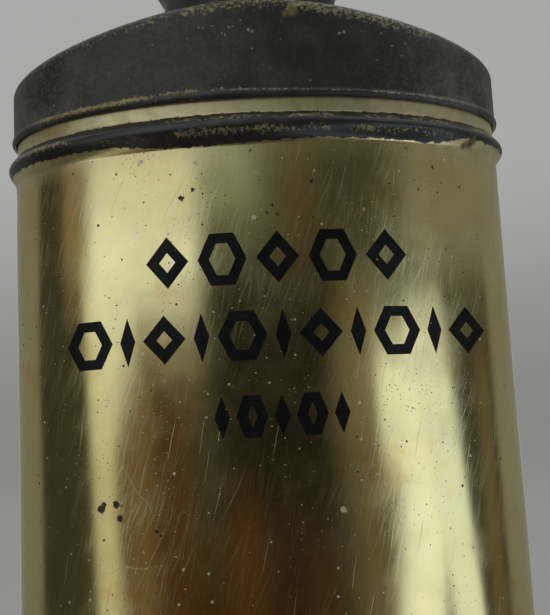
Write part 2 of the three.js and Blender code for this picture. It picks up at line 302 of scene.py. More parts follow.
def seam_offset(height):
    """The folded side seam up the back, one number for each point of the oval."""
    across = HALF_WIDTH * np.cos(OVAL)
    behind = np.sin(OVAL) > 0
    strip = smooth(-SEAM_HALF_WIDTH - 0.15 * MM, -SEAM_HALF_WIDTH + 0.15 * MM, across)
    strip *= 1 - smooth(SEAM_HALF_WIDTH - 0.15 * MM, SEAM_HALF_WIDTH + 0.15 * MM, across)
    ends = smooth(base_high.z + 0.2 * MM, base_high.z + 1.2 * MM, height)
    ends *= 1 - smooth(BEAD_BOTTOM - 1.4 * MM, BEAD_BOTTOM - 0.5 * MM, height)
    return SEAM_RAISE * strip * behind * ends


def body_wall():
    low = wall_low.z + SHEET / 2
    heights = np.concatenate([
        np.arange(low, BEAD_BOTTOM - 1 * MM, 0.8 * MM),
        np.linspace(BEAD_BOTTOM - 0.9 * MM, BEAD_TOP + 0.5 * MM, 44),
        np.linspace(BEAD_TOP + 0.6 * MM, wall_high.z - SHEET / 2, 8),
    ])
    rows = []
    for height in heights:
        plan = oval(bead_offset(height) + seam_offset(height))
        flat = smooth(base_high.z, base_high.z + 6 * MM, height)
        flat *= 1 - smooth(BEAD_BOTTOM - 6 * MM, BEAD_BOTTOM - 1 * MM, height)
        row = ring(plan, height)
        row[:, :2] += (oval(1.0) - oval(0.0)) * (unevenness(row) * flat)[:, None]
        rows.append(row)
    return loft("body_wall_fine", sheet_rings(rows))


def base_plate():
    """The recessed base: an outer band, a channel that holds the wall's foot, and a pressed floor."""
    gap = 0.1 * MM
    inside = -SHEET - gap
    channel = inside - SHEET
    panel = channel - 4.5 * MM
    floor = 2.6 * MM
    step = 0.6 * MM
    top = base_high.z - 0.2 * MM
    corners = [
        (panel - 3 * MM, floor - SHEET + step),
        (panel - 1 * MM, floor - SHEET + step),
        (panel, floor - SHEET),
        (channel, floor - SHEET),
        (channel, 0),
        (BASE_BULGE, 0),
        (BASE_BULGE, top),
        (gap, top),
        (gap, 0.5 * MM),
        (inside, 0.5 * MM),
        (inside, floor),
        (panel, floor),
        (panel - 1 * MM, floor + step),
        (panel - 3 * MM, floor + step),
    ]
    rings = [ring(oval(o), h) for o, h in rounded(corners, 0.45 * MM)]
    return loft("base_plate_fine", [pole(floor - SHEET + step), *rings, pole(floor + step)])


# ---- The shoulder ----
def vault(plan):
    """The height of the shoulder's vaulted top over points in plan."""
    return SKIRT_Z + VAULT_RISE - VAULT_SLOPE * (np.hypot(plan[:, 0], VAULT_CROWN) - VAULT_CROWN)


def shoulder():
    rows = []
    low = SKIRT_Z + SHEET / 2
    for height in np.linspace(low, SKIRT_Z + HEM_HEIGHT, 10):
        share = (height - low) / (SKIRT_Z + HEM_HEIGHT - low)
        swell = HEM_BULGE * math.sin(math.pi * min(share * 1.25, 1)) ** 0.7
        rows.append(ring(oval(SKIRT_OUTSET + swell), height))
    wall = oval(SKIRT_OUTSET)
    ridge_foot = vault(wall) - RIDGE_RADIUS
    for share in np.linspace(0, 1, 24)[1:-1]:
        rows.append(ring(wall, (1 - share) * (SKIRT_Z + HEM_HEIGHT) + share * ridge_foot))
    for lean in arc(0, math.pi / 2):
        plan = oval(SKIRT_OUTSET - RIDGE_RADIUS * (1 - math.cos(lean)))
        rows.append(ring(plan, vault(plan) - RIDGE_RADIUS * (1 - math.sin(lean))))
    spout_foot = circle(SPOUT_RADIUS + SPOUT_FILLET, OVAL)
    for share in np.linspace(0, 1, 20)[1:-1]:
        plan = oval(SKIRT_OUTSET - RIDGE_RADIUS) * (1 - share) + spout_foot * share
        rows.append(ring(plan, vault(plan)))
    for lean in arc(0, math.pi / 2):
        plan = circle(SPOUT_RADIUS + SPOUT_FILLET * (1 - math.sin(lean)), OVAL)
        rows.append(ring(plan, vault(plan) + SPOUT_FILLET * (1 - math.cos(lean))))
    rows.append(ring(circle(SPOUT_RADIUS, OVAL), shoulder_high.z - SHEET / 2))
    return loft("shoulder_fine", sheet_rings(rows))


def neck():
    top_radius = neck_high.x
    straight = np.linspace(neck_low.z + SHEET / 2, NECK_FLARE_BOTTOM, 8)
    rows = [ring(circle(NECK_RADIUS), height) for height in straight]
    for share in np.linspace(0, 1, 24)[1:]:
        radius = NECK_RADIUS + (top_radius - NECK_RADIUS) * smooth(0, 1, share)
        rows.append(ring(circle(radius), NECK_FLARE_BOTTOM + share * (NECK_FLARE_TOP - NECK_FLARE_BOTTOM)))
    for height in np.linspace(NECK_FLARE_TOP, neck_high.z - SHEET / 2, 6)[1:]:
        rows.append(ring(circle(top_radius), height))
    return loft("neck_fine", sheet_rings(rows))


# ---- The sifter ----
def hole_drills(turned, low, high):
    tools = []
    for angle in turns(HOLES) + turned:
        x, y = HOLE_CIRCLE * math.cos(angle), HOLE_CIRCLE * math.sin(angle)
        tools.append(drill(HOLE_RADIUS, x, y, low, high))
    return tools


def sifter_plate():
    radius = plate_high.x
    top = plate_high.z - 0.6 * MM
    corners = [
        (2 * MM, top - SHEET),
        (radius - SHEET, top - SHEET),
        (radius - SHEET, plate_low.z),
        (radius, plate_low.z),
        (radius, top),
        (2 * MM, top),
    ]
    rings = [ring(circle(r), h) for r, h in rounded(corners, 0.3 * MM)]
    piece = loft("sifter_plate_fine", [pole(top - SHEET), *rings, pole(top)])
    low, high = top - 2 * MM, top + 2 * MM
    cut(piece, [*hole_drills(0, low, high), drill(PIVOT_RADIUS, 0, 0, low, high)])
    return piece


def stop_pip():
    top = plate_high.z
    foot = top - 0.75 * MM
    rings = [np.array([[0, -PIP_CIRCLE, foot]])]
    for lean in arc(0, math.pi / 2)[:-1]:
        plan = circle(PIP_RADIUS * math.cos(lean) ** 0.6, turns(32)) + (0, -PIP_CIRCLE)
        rings.append(ring(plan, foot + (top - foot) * math.sin(lean)))
    rings.append(np.array([[0, -PIP_CIRCLE, top]]))
    return loft("stop_pip", rings)


def slot_tool(low, high):
    """The arc-shaped slot that the stop pip runs in."""
    half = PIP_RADIUS + 0.15 * MM
    start, end = -math.pi / 2 - CAP_TRAVEL, -math.pi / 2
    outline = [circle(PIP_CIRCLE + half, np.linspace(start, end, 24))]
    for centre, first in ((end, end), (start, start + math.pi)):
        at = PIP_CIRCLE * np.array([math.cos(centre), math.sin(centre)])
        if first == start + math.pi:
            outline.append(circle(PIP_CIRCLE - half, np.linspace(end, start, 24)))
        outline.append(at + circle(half, np.linspace(first, first + math.pi, 16)[1:-1]))
    plan = np.vstack(outline)
    middle = (start + end) / 2
    centre = PIP_CIRCLE * np.array([math.cos(middle), math.sin(middle)])
    poles = [np.array([[*centre, h]]) for h in (low, high)]
    return loft("slot_tool", [poles[0], ring(plan, low), ring(plan, high), poles[1]])


def knurled(radius):
    """A ring of rounded knurls, in plan."""
    swell = np.abs(np.cos(ROUND * KNURLS / 2)) ** 1.5
    return circle(radius + KNURL_DEPTH * swell)


def sifter_cap():
    disc_top = cap_high.z - 0.9 * MM
    disc_low = disc_top - SHEET
    inner = CAP_RADIUS - SHEET
    rim = cap_high.z
    rings = [pole(disc_low)]
    inside = [
        (2 * MM, disc_low),
        (inner, disc_low),
        (inner, cap_low.z),
        (CAP_RADIUS, cap_low.z),
        (CAP_RADIUS, cap_low.z + 0.5 * MM),
    ]
    rings += [ring(circle(r), h) for r, h in rounded(inside, 0.25 * MM)]
    for share in arc(0, 1, 16):
        height = cap_low.z + 0.6 * MM + share * (rim - 0.9 * MM - cap_low.z - 0.6 * MM)
        fade = smooth(0, 0.15, share) * (1 - smooth(0.85, 1, share))
        rings.append(ring(circle(CAP_RADIUS) * (1 - fade) + knurled(CAP_RADIUS) * fade, height))
    for lean in arc(0, math.pi, 14):
        radius = CAP_RADIUS - 0.5 * MM + 0.5 * MM * math.cos(lean)
        rings.append(ring(circle(radius), rim - 0.5 * MM + 0.5 * MM * math.sin(lean)))
    dish = [(CAP_RADIUS - 1 * MM, rim - 0.5 * MM), (CAP_RADIUS - 1.3 * MM, disc_top), (2 * MM, disc_top)]
    rings += [ring(circle(r), h) for r, h in rounded(dish, 0.3 * MM)[1:]]
    rings.append(pole(disc_top))
    piece = loft("sifter_cap_fine", rings)
    low, high = disc_low - 1 * MM, disc_top + 1 * MM
    pivot = drill(PIVOT_RADIUS, 0, 0, low, high)
    return cut(piece, [*hole_drills(-CAP_TRAVEL, low, high), pivot, slot_tool(low, high)])


def rivet():
    head_low = rivet_high.z - 0.9 * MM
    tail_top = rivet_low.z + 0.5 * MM
    head = rivet_high.x
    corners = [
        (0.4 * MM, rivet_low.z),
        (1.9 * MM, rivet_low.z),
        (1.9 * MM, tail_top),
        (1.2 * MM, tail_top),
        (1.2 * MM, head_low),
        (head, head_low),
        (head, head_low + 0.15 * MM),
    ]
    rings = [ring(circle(r), h) for r, h in rounded(corners, 0.12 * MM)]
    for lean in arc(0, math.pi / 2, 16)[1:-1]:
        rings.append(ring(circle(head * math.cos(lean)), head_low + 0.15 * MM + 0.75 * MM * math.sin(lean)))
    return loft("rivet_fine", [pole(rivet_low.z), *rings, pole(rivet_high.z)])


def rivet_washer():
    corners = [
        (PIVOT_RADIUS, washer_low.z + SHEET / 2),
        (PIVOT_RADIUS, washer_low.z),
        (washer_high.x, washer_low.z),
        (washer_high.x, washer_high.z),
        (PIVOT_RADIUS, washer_high.z),
        (PIVOT_RADIUS, washer_low.z + SHEET / 2),
    ]
    rings = [ring(circle(r), h) for r, h in rounded(corners, 0.1 * MM)[:-1]]
    return loft("rivet_washer_fine", rings)


# ---- Node helpers ----
class Nodes:
    """Short ways to write a node tree."""

    def __init__(self, tree):
        self.tree = tree
        tree.nodes.clear()

    def add(self, kind, inputs=(), **settings):
        node = self.tree.nodes.new(kind)
        for key, value in settings.items():
            setattr(node, key, value)
        for key, value in dict(inputs).items():
            self.feed(node.inputs[key], value)
        return node

    def feed(self, socket, value):
        if isinstance(value, bpy.types.NodeSocket):
            self.tree.links.new(value, socket)
        else:
            socket.default_value = value

    def math(self, operation, a, b=0.0, c=0.0, clamp=False):
        node = self.add("ShaderNodeMath", {0: a, 1: b, 2: c}, operation=operation, use_clamp=clamp)
        return node.outputs[0]

    def smooth(self, value, low, high):
        """0 below low and 1 above high, with a soft step between; low may be the higher one."""
        inputs = {"Value": value, "From Min": low, "From Max": high}
        return self.add("ShaderNodeMapRange", inputs, interpolation_type="SMOOTHSTEP").outputs[0]

    def mix(self, share, a, b):
        node = self.add("ShaderNodeMix", data_type="RGBA")
        self.feed(node.inputs[0], share)
        self.feed(node.inputs[6], a)
        self.feed(node.inputs[7], b)
        return node.outputs[2]

    def blend(self, share, a, b):
        """Mixes two plain numbers."""
        return self.add("ShaderNodeMix", {0: share, 2: a, 3: b}, data_type="FLOAT").outputs[0]

    def place(self):
        """Object coordinates, in millimetres."""
        where = self.add("ShaderNodeTexCoord").outputs["Object"]
        inputs = {0: where, 1: (1 / MM, 1 / MM, 1 / MM)}
        return self.add("ShaderNodeVectorMath", inputs, operation="MULTIPLY").outputs[0]

    def sheet(self):
        """Millimetres round the oval and up the tin, as if its sheet were flat."""
        around = self.add("ShaderNodeAttribute", attribute_name="around").outputs["Fac"]
        height = self.add("ShaderNodeSeparateXYZ", {0: self.place()}).outputs[2]
        return self.add("ShaderNodeCombineXYZ", {0: around, 1: height}).outputs[0]

    def noise(self, scale, where=None, detail=3.0, roughness=0.55, distortion=0.0):
        """Noise with features about 1 / scale millimetres across."""
        inputs = {
            "Vector": where or self.place(), "Scale": scale, "Detail": detail,
            "Roughness": roughness, "Distortion": distortion,
        }
        return self.add("ShaderNodeTexNoise", inputs).outputs[0]


# ---- Materials ----
BRASS_COLOUR = (0.74, 0.63, 0.31, 1)
BRASS_DEEP = (0.66, 0.54, 0.24, 1)
BRASS_AMBER = (0.62, 0.37, 0.13, 1)
BRASS_PALE = (0.80, 0.74, 0.48, 1)
TARNISH = (0.05, 0.035, 0.018, 1)
LIME = (0.58, 0.57, 0.49, 1)  # dried drops and dust
JAPAN_COLOUR = (0.014, 0.0130, 0.0105, 1)
# Pale film: dust, and on the shoulder also painted sheen.
JAPAN_DUST_AND_SHEEN = (0.105, 0.099, 0.086, 1)
WORN_GOLD = (0.37, 0.305, 0.15, 1)
WORN_BROWN = (0.17, 0.135, 0.065, 1)
WORN_PALE = (0.27, 0.25, 0.165, 1)
INK = (0.0045, 0.0045, 0.0055, 1)

# Scratches in the lacquer: angle from upright, spacing, thickness, length, share kept, how far they wander.
SCRATCHES = (
    (-28, 1.5, 0.055, 9, 0.55, 0.8),
    (-14, 0.8, 0.045, 6, 0.6, 0.5),
    (31, 2.4, 0.05, 12, 0.5, 2.0),
    (84, 2.6, 0.06, 13, 0.5, 3.0),
    (-66, 3.0, 0.045, 15, 0.45, 4.0),
)
# Spots: distance across from the middle of the front, distance under the shoulder's edge, radius.
DARK_SPOTS = (
    (-17.6, 41.2, 0.42), (-17.3, 40.8, 0.25), (-16.0, 40.8, 0.36), (-15.6, 42.2, 0.36), (-11.8, 43.6, 0.26),
    (-11.5, 43.9, 0.2), (-8.2, 10.1, 0.3), (-7.0, 9.3, 0.2), (0.6, 12.2, 0.16), (1.6, 12.4, 0.2),
    (1.1, 11.4, 0.18), (5.3, 9.0, 0.24), (-0.9, 5.6, 0.17), (15.7, 5.2, 0.2), (18.6, 7.0, 0.18),
)
PALE_SPOTS = (
    (-12.3, 5.8, 0.24), (-12.6, 6.2, 0.12), (-6.6, 6.5, 0.24), (-0.8, 12.6, 0.26), (6.6, 42.3, 0.28),
    (20.2, 6.1, 0.18), (21.4, 5.9, 0.15), (7.0, 14.2, 0.18), (8.0, 19.2, 0.2), (10.6, 12.0, 0.14),
)
SHOULDER_CHIPS = (
    (-5.6, -8.1, 0.12), (-5.1, -8.0, 0.08), (-4.2, -8.1, 0.08), (-2.5, -7.9, 0.12), (-2.1, -8.0, 0.08),
    (-0.5, -7.5, 0.16), (-0.1, -7.3, 0.13), (-2.9, -7.1, 0.12), (-3.2, -7.3, 0.06), (-6.8, -7.0, 0.08),
    (-10.5, -6.7, 0.06), (9.0, -7.1, 0.16), (9.5, -7.3, 0.12), (14.7, -6.1, 0.11), (15.7, -5.1, 0.07),
    (12.9, -4.3, 0.09), (16.2, -6.5, 0.07), (3.0, -8.3, 0.08), (-1.2, -8.6, 0.08), (13.6, -7.4, 0.08),
)
RUST_SPOTS = ((4.2, -9.5, 0.5), (3.4, -9.2, 0.3), (23.2, 3.7, 0.6), (22.6, 4.1, 0.4))


def new_material(name):
    material = bpy.data.materials.new(name)
    material.use_nodes = True
    return material, Nodes(material.node_tree)


def slanted(n, sheet, angle, across, along, wander=0.0):
    """The sheet's coordinates turned and stretched, for marks that run in one direction."""
    where = n.add("ShaderNodeSeparateXYZ", {0: sheet})
    c, s = math.cos(math.radians(angle)), math.sin(math.radians(angle))
    u = n.math("MULTIPLY_ADD", where.outputs[0], c / across, n.math("MULTIPLY", where.outputs[1], s / across))
    v = n.math("MULTIPLY_ADD", where.outputs[0], -s / along, n.math("MULTIPLY", where.outputs[1], c / along))
    if wander:
        sway = n.math("SUBTRACT", n.noise(0.07, sheet, detail=2), 0.5)
        u = n.math("MULTIPLY_ADD", sway, 4 * wander / across, u)
    return n.add("ShaderNodeCombineXYZ", {0: u, 1: v}).outputs[0]


def scratches(n, sheet, angle, spacing, thickness, length, keep, wander):
    """Thin scratches with tapered ends. keep is the share of the cells that hold one."""
    width = thickness / spacing
    where = slanted(n, sheet, angle, spacing, length / 2 / width, wander)
    node = n.add("ShaderNodeTexVoronoi", {"Vector": where, "Scale": 1.0}, voronoi_dimensions="2D")
    line = n.smooth(node.outputs["Distance"], width, 0.2 * width)
    chance = n.add("ShaderNodeSeparateColor", {0: node.outputs["Color"]})
    strength = n.math("MULTIPLY_ADD", chance.outputs[1], 0.7, 0.3)
    kept = n.math("GREATER_THAN", chance.outputs[0], 1 - keep)
    return n.math("MULTIPLY", line, n.math("MULTIPLY", strength, kept))


def specks(n, sheet, spacing, size, keep):
    """Small ragged spots. keep is the share of the cells, spacing across, that hold one up to this size."""
    where, flat = (sheet, "2D") if sheet else (n.place(), "3D")
    node = n.add("ShaderNodeTexVoronoi", {"Vector": where, "Scale": 1 / spacing}, voronoi_dimensions=flat)
    chance = n.add("ShaderNodeSeparateColor", {0: node.outputs["Color"]})
    reach = n.math("MULTIPLY", n.math("MULTIPLY_ADD", chance.outputs[1], 0.7, 0.3), size / spacing)
    ragged = n.math("MULTIPLY", n.math("SUBTRACT", n.noise(1.2 / size, where, detail=2), 0.5), size / spacing)
    gap = n.math("SUBTRACT", n.math("ADD", node.outputs["Distance"], ragged), reach)
    spot = n.smooth(gap, 0.15 * size / spacing, -0.15 * size / spacing)
    return n.math("MULTIPLY", spot, n.math("GREATER_THAN", chance.outputs[0], 1 - keep))


def spots(n, sheet, places, soft=0.06):
    """Chosen spots, with ragged edges."""
    nearest = 10.0
    for x, drop, radius in places:
        centre = (float(around_at(x * MM)) / MM, SKIRT_Z / MM - drop, 0)
        gap = n.add("ShaderNodeVectorMath", {0: sheet, 1: centre}, operation="DISTANCE").outputs["Value"]
        nearest = n.math("MINIMUM", nearest, n.math("SUBTRACT", gap, radius))
    ragged = n.math("SUBTRACT", n.noise(3.5, sheet, detail=3), 0.5)
    return n.smooth(n.math("MULTIPLY_ADD", ragged, 0.6, nearest), soft, -soft)


def strongest(n, shares):
    """The largest of several shares at each point."""
    most = shares[0]
    for share in shares[1:]:
        most = n.math("MAXIMUM", most, share)
    return most


def less(n, value, shares):
    """A number brought down by each (share, amount)."""
    for share, amount in shares:
        value = n.math("MULTIPLY_ADD", share, -amount, value)
    return value


def brass(n, sheet=None):
    """Tinplate under brass-coloured lacquer that is combed with fine scratches, pitted and stained."""
    flat = sheet or n.place()
    colour = n.mix(n.smooth(n.noise(0.07, detail=4), 0.35, 0.7), BRASS_COLOUR, BRASS_DEEP)
    amber = n.smooth(n.noise(0.11, detail=4, distortion=0.5), 0.56, 0.68)
    colour = n.mix(n.math("MULTIPLY", amber, 0.42), colour, BRASS_AMBER)
    dense = n.smooth(n.noise(0.05, detail=3), 0.40, 0.60)
    combed = [
        n.smooth(n.noise(1.0, slanted(n, flat, -13, 0.20, 6, 0.3), detail=3), 0.50, 0.70),
        n.smooth(n.noise(1.0, slanted(n, flat, -26, 0.32, 9, 0.5), detail=3), 0.54, 0.72),
    ]
    fine = n.math("MULTIPLY", strongest(n, combed), n.math("MULTIPLY_ADD", dense, 0.75, 0.25))
    cuts = strongest(n, [scratches(n, flat, *row) for row in SCRATCHES])
    cluster = n.smooth(n.noise(0.16, detail=3), 0.48, 0.66)
    dark = [specks(n, sheet, 2.9, 0.15, 0.3), specks(n, sheet, 1.2, 0.085, 0.16)]
    dark.append(n.math("MULTIPLY", specks(n, sheet, 0.5, 0.065, 0.3), cluster))
    pale = [specks(n, sheet, 3.1, 0.15, 0.35), specks(n, sheet, 1.3, 0.08, 0.2)]
    if sheet:
        dark.append(spots(n, sheet, DARK_SPOTS))
        pale.append(n.math("MULTIPLY", spots(n, sheet, PALE_SPOTS, 0.12), 0.9))
    dark, pale = strongest(n, dark), strongest(n, pale)
    colour = n.mix(n.math("MULTIPLY", n.math("MAXIMUM", fine, cuts), 0.6), colour, BRASS_PALE)
    colour = n.mix(n.math("MULTIPLY", pale, 0.7), colour, LIME)
    colour = n.mix(dark, colour, TARNISH)
    smear = n.smooth(n.noise(0.22, detail=5), 0.35, 0.75)
    rough = less(n, n.blend(smear, 0.12, 0.20), [(fine, -0.08), (cuts, -0.25), (pale, -0.3), (dark, -0.35)])
    height = less(n, n.math("MULTIPLY", smear, 0.3), [(fine, 0.25), (cuts, 0.7), (dark, 1.2), (pale, -0.6)])
    metallic = less(n, 1.0, [(fine, 0.05), (cuts, 0.22), (pale, 0.5), (dark, 0.5)])
    return {"colour": colour, "metallic": metallic, "rough": rough, "height": height}


def hazy_brass(n):
    """The strip of the body between its bead and the shoulder, which has gone dull."""
    tone = n.smooth(n.noise(0.5, detail=5), 0.35, 0.7)
    colour = n.mix(tone, (0.72, 0.62, 0.36, 1), (0.56, 0.47, 0.26, 1))
    pale = specks(n, None, 1.1, 0.22, 0.2)
    colour = n.mix(pale, colour, LIME)
    return {"colour": colour, "metallic": 0.75, "rough": 0.40, "height": n.math("MULTIPLY", tone, 0.4)}


def japan(n, sheet=None, dust_and_sheen=0.5):
    """Old satin black enamel: haze in patches, fine pores, small chips, and a pale film of dust that on the
    shoulder also carries painted sheen.
    """
    haze = n.smooth(n.noise(0.20, detail=6, roughness=0.62), 0.36, 0.74)
    fine = n.smooth(n.noise(2.2, detail=5, roughness=0.7), 0.35, 0.75)
    film = n.math("MULTIPLY_ADD", haze, 0.6, n.math("MULTIPLY", fine, 0.45))
    dust_and_sheen = n.math("MULTIPLY", film, dust_and_sheen, clamp=True)
    colour = n.mix(dust_and_sheen, JAPAN_COLOUR, JAPAN_DUST_AND_SHEEN)
    cluster = n.smooth(n.noise(0.2, detail=3), 0.5, 0.7)
    chips = [specks(n, sheet, 3.2, 0.11, 0.25)]
    chips.append(n.math("MULTIPLY", specks(n, sheet, 0.55, 0.07, 0.35), cluster))
    if sheet:
        chips.append(spots(n, sheet, SHOULDER_CHIPS))
    chips = strongest(n, chips)
    colour = n.mix(n.math("MULTIPLY", chips, 0.85), colour, WORN_PALE)
    height = less(n, n.math("MULTIPLY", fine, 0.5), [(n.noise(6, detail=3), -0.4), (chips, 0.8)])
    return {"colour": colour, "metallic": 0.0, "rough": n.blend(haze, 0.40, 0.56), "height": height}


def gloss_black(n):
    """The bead's black, which has kept more of its shine."""
    tone = n.smooth(n.noise(0.8, detail=5), 0.35, 0.7)
    colour = n.mix(tone, (0.010, 0.0098, 0.0095, 1), (0.024, 0.0235, 0.022, 1))
    pores = n.math("MULTIPLY", n.noise(4, detail=3), 0.8)
    return {"colour": colour, "metallic": 0.0, "rough": 0.36, "height": pores}


def worn(n, pale=0.3):
    """Brass where the black has rubbed away: duller and rougher than under its lacquer."""
    colour = n.mix(n.smooth(n.noise(1.9, detail=4), 0.3, 0.7), WORN_GOLD, WORN_BROWN)
    colour = n.mix(pale, colour, WORN_PALE)
    return {"colour": colour, "metallic": 0.45, "rough": 0.45, "height": -0.3}


def rust(n):
    tone = n.smooth(n.noise(1.5, detail=4), 0.35, 0.65)
    colour = n.mix(tone, (0.13, 0.075, 0.022, 1), (0.19, 0.13, 0.05, 1))
    return {"colour": colour, "metallic": 0.1, "rough": 0.6, "height": tone}


def over(n, share, below, above):
    """One surface showing over another, by a share."""
    return {
        "colour": n.mix(share, below["colour"], above["colour"]),
        "metallic": n.blend(share, below["metallic"], above["metallic"]),
        "rough": n.blend(share, below["rough"], above["rough"]),
        "height": n.blend(share, below["height"], above["height"]),
    }


def surface(n, look, bump=1.2e-6, coat=0.0, coat_roughness=0.1, specular=0.5):
    """Ends a material: one shader that takes what the look says."""
    normal = n.add("ShaderNodeBump", {"Strength": 1.0, "Distance": bump, "Height": look["height"]}).outputs[0]
    shader = n.add("ShaderNodeBsdfPrincipled", {
        "Base Color": look["colour"], "Metallic": look["metallic"], "Roughness": look["rough"],
        "Normal": normal, "Coat Weight": coat, "Coat Roughness": coat_roughness,
        "Specular IOR Level": specular,
    })
    n.add("ShaderNodeOutputMaterial", {"Surface": shader.outputs[0]})


def stored(n, name):
    return n.add("ShaderNodeAttribute", attribute_name=name).outputs["Fac"]


def rubbed(n, grain_scale=2.0):
    """Where the black has worn through: the stored wear, broken up into specks."""
    wear = stored(n, "wear")
    grain = n.math("SUBTRACT", n.noise(grain_scale, detail=5, roughness=0.75), 0.5)
    level = n.math("MULTIPLY_ADD", grain, 3.2, wear)
    return n.math("MULTIPLY", n.smooth(level, 0.48, 0.64), n.smooth(wear, 0.02, 0.12))


def body_material():
    material, n = new_material("brass_lacquer")
    sheet = n.sheet()
    up = n.add("ShaderNodeSeparateXYZ", {0: sheet}).outputs[1]
    ragged = n.math("SUBTRACT", n.noise(1.3, detail=5, roughness=0.65), 0.5)
    painted = n.smooth(n.math("MULTIPLY_ADD", ragged, 0.9, stored(n, "band")), -0.05, 0.05)
    strip = n.smooth(up, BEAD_TOP / MM - 0.6, BEAD_TOP / MM - 0.2)
    out = n.math("ABSOLUTE", n.add("ShaderNodeSeparateXYZ", {0: sheet}).outputs[0])
    haze = n.math("MULTIPLY_ADD", n.smooth(out, 16, 28), 0.55, 0.35)
    under_bead = n.math("MULTIPLY", n.smooth(up, BEAD_BOTTOM / MM - 3.2, BEAD_BOTTOM / MM), haze)
    look = over(n, n.math("MAXIMUM", strip, under_bead), brass(n, sheet), hazy_brass(n))
    look = over(n, painted, look, gloss_black(n))
    look = over(n, n.math("MULTIPLY", rubbed(n, 2.6), painted), look, worn(n))
    look = over(n, spots(n, sheet, RUST_SPOTS, 0.3), look, rust(n))
    surface(n, look, bump=3e-6, coat=0.2, coat_roughness=0.1)
    return material


def shoulder_material():
    material, n = new_material("shoulder_japan")
    sheet = n.sheet()
    # The pale film read here is even dust with painted sheen towards the ends, left of the middle and low on
    # the right.
    dust_and_sheen = stored(n, "dust_and_sheen")
    right = n.smooth(n.add("ShaderNodeSeparateXYZ", {0: sheet}).outputs[0], -2.0, 14.0)
    look = over(n, rubbed(n, 2.8), japan(n, sheet, dust_and_sheen), worn(n, right))
    look = over(n, spots(n, sheet, RUST_SPOTS, 0.3), look, rust(n))
    surface(n, look, bump=5e-6)
    return material


def black_material():
    material, n = new_material("black_japan")
    surface(n, over(n, rubbed(n), japan(n), worn(n)), bump=5e-6)
    return material


def plain_brass_material():
    material, n = new_material("sifter_brass")
    surface(n, brass(n), bump=3e-6, coat=0.2)
    return material


def tin_material():
    material, n = new_material("plain_tin")
    tone = n.smooth(n.noise(1.2, detail=5), 0.3, 0.75)
    colour = n.mix(tone, (0.42, 0.41, 0.38, 1), (0.26, 0.24, 0.21, 1))
    rough = n.blend(n.noise(2.5, detail=4), 0.28, 0.5)
    surface(n, {"colour": colour, "metallic": 1.0, "rough": rough, "height": n.noise(5, detail=4)}, bump=3e-6)
    return material


def ink_material():
    material, n = new_material("printed_ink")
    rub = n.smooth(n.noise(3.2, detail=6, roughness=0.75), 0.62, 0.72)
    nicks = specks(n, None, 0.9, 0.14, 0.12)
    colour = n.mix(n.smooth(n.noise(0.5, detail=4), 0.3, 0.8), INK, (0.010, 0.0095, 0.009, 1))
    colour = n.mix(n.math("MAXIMUM", n.math("MULTIPLY", rub, 0.35), nicks), colour, (0.24, 0.20, 0.10, 1))
    look = {"colour": colour, "metallic": 0.0, "rough": 0.34, "height": n.noise(3, detail=3)}
    surface(n, look, bump=2e-6, specular=0.15)
    return material


# ---- Print on the front: plain ornament in three rows ----
PRINT_LIFT = 0.015 * MM
STROKE = 1.05 * MM


def on_wall(across, height, lift):
    """A point of the front wall, at a distance across from the middle, lifted off its face."""
    turn = np.arccos(np.clip(np.asarray(across) / HALF_WIDTH, -1, 1))
    plan = np.stack([HALF_WIDTH * np.cos(turn), -HALF_DEPTH * np.sin(turn)], 1)
    normal = np.stack([np.cos(turn) / HALF_WIDTH, -np.sin(turn) / HALF_DEPTH], 1)
    normal /= np.linalg.norm(normal, axis=1, keepdims=True)
    points = np.column_stack([plan, height])
    points[:, :2] += normal * (unevenness(points) + lift)[:, None]
    return points


def loop_through(corners, each=12):
    """Points round a closed outline of (across, up) corners, the same number along every side."""
    corners = np.array(corners, float)
    ends = np.roll(corners, -1, 0)
    shares = np.arange(each)[:, None] / each
    return np.vstack([start + (end - start) * shares for start, end in zip(corners, ends)])


def shrunk(corners, stroke):
    """The outline moved in by a stroke's width, for a convex outline listed anticlockwise."""
    corners = np.array(corners, float)
    sides = np.roll(corners, -1, 0) - corners
    inward = np.stack([-sides[:, 1], sides[:, 0]], 1) / np.linalg.norm(sides, axis=1, keepdims=True)
    before = np.roll(inward, 1, 0)
    bisector = before + inward
    bisector /= np.sum(bisector * inward, axis=1, keepdims=True)
    return corners + bisector * stroke


def polygon(sides, width, height, first=0.0):
    """The corners of a polygon stretched to a width and height, anticlockwise from an angle."""
    corners = circle(1.0, turns(sides) + first)
    corners -= (corners.max(0) + corners.min(0)) / 2
    return corners / corners.max(0) * (width / 2, height / 2)


def mark(name, corners, x, z, hollow):
    """A printed mark: a thin film of ink on the wall, as an outline or a filled shape."""
    outer = loop_through(corners) + (x, z)
    middle = np.array([[x, z]])
    if hollow:
        inner = loop_through(shrunk(corners, STROKE)) + (x, z)
        shares = [inner + (outer - inner) * t for t in (0, 0.5, 1)]
    else:
        shares = [middle + (outer - middle) * t for t in (0.35, 0.7, 1)]
    below = [on_wall(*loop.T, -PRINT_LIFT) for loop in shares]
    above = [on_wall(*loop.T, PRINT_LIFT) for loop in shares[::-1]]
    if hollow:
        return loft(name, [*below, *above])
    return loft(name, [on_wall(*middle.T, -PRINT_LIFT), *below, *above, on_wall(*middle.T, PRINT_LIFT)])


HEXAGON = ("hexagon", 6, 5.0, 0.0, True)
LOZENGE = ("lozenge", 4, 4.4, 0.0, True)
SMALL_HEXAGON = ("small_hexagon", 6, 3.2, 0.0, True)
PIP = ("pip", 4, 1.6, 0.0, False)
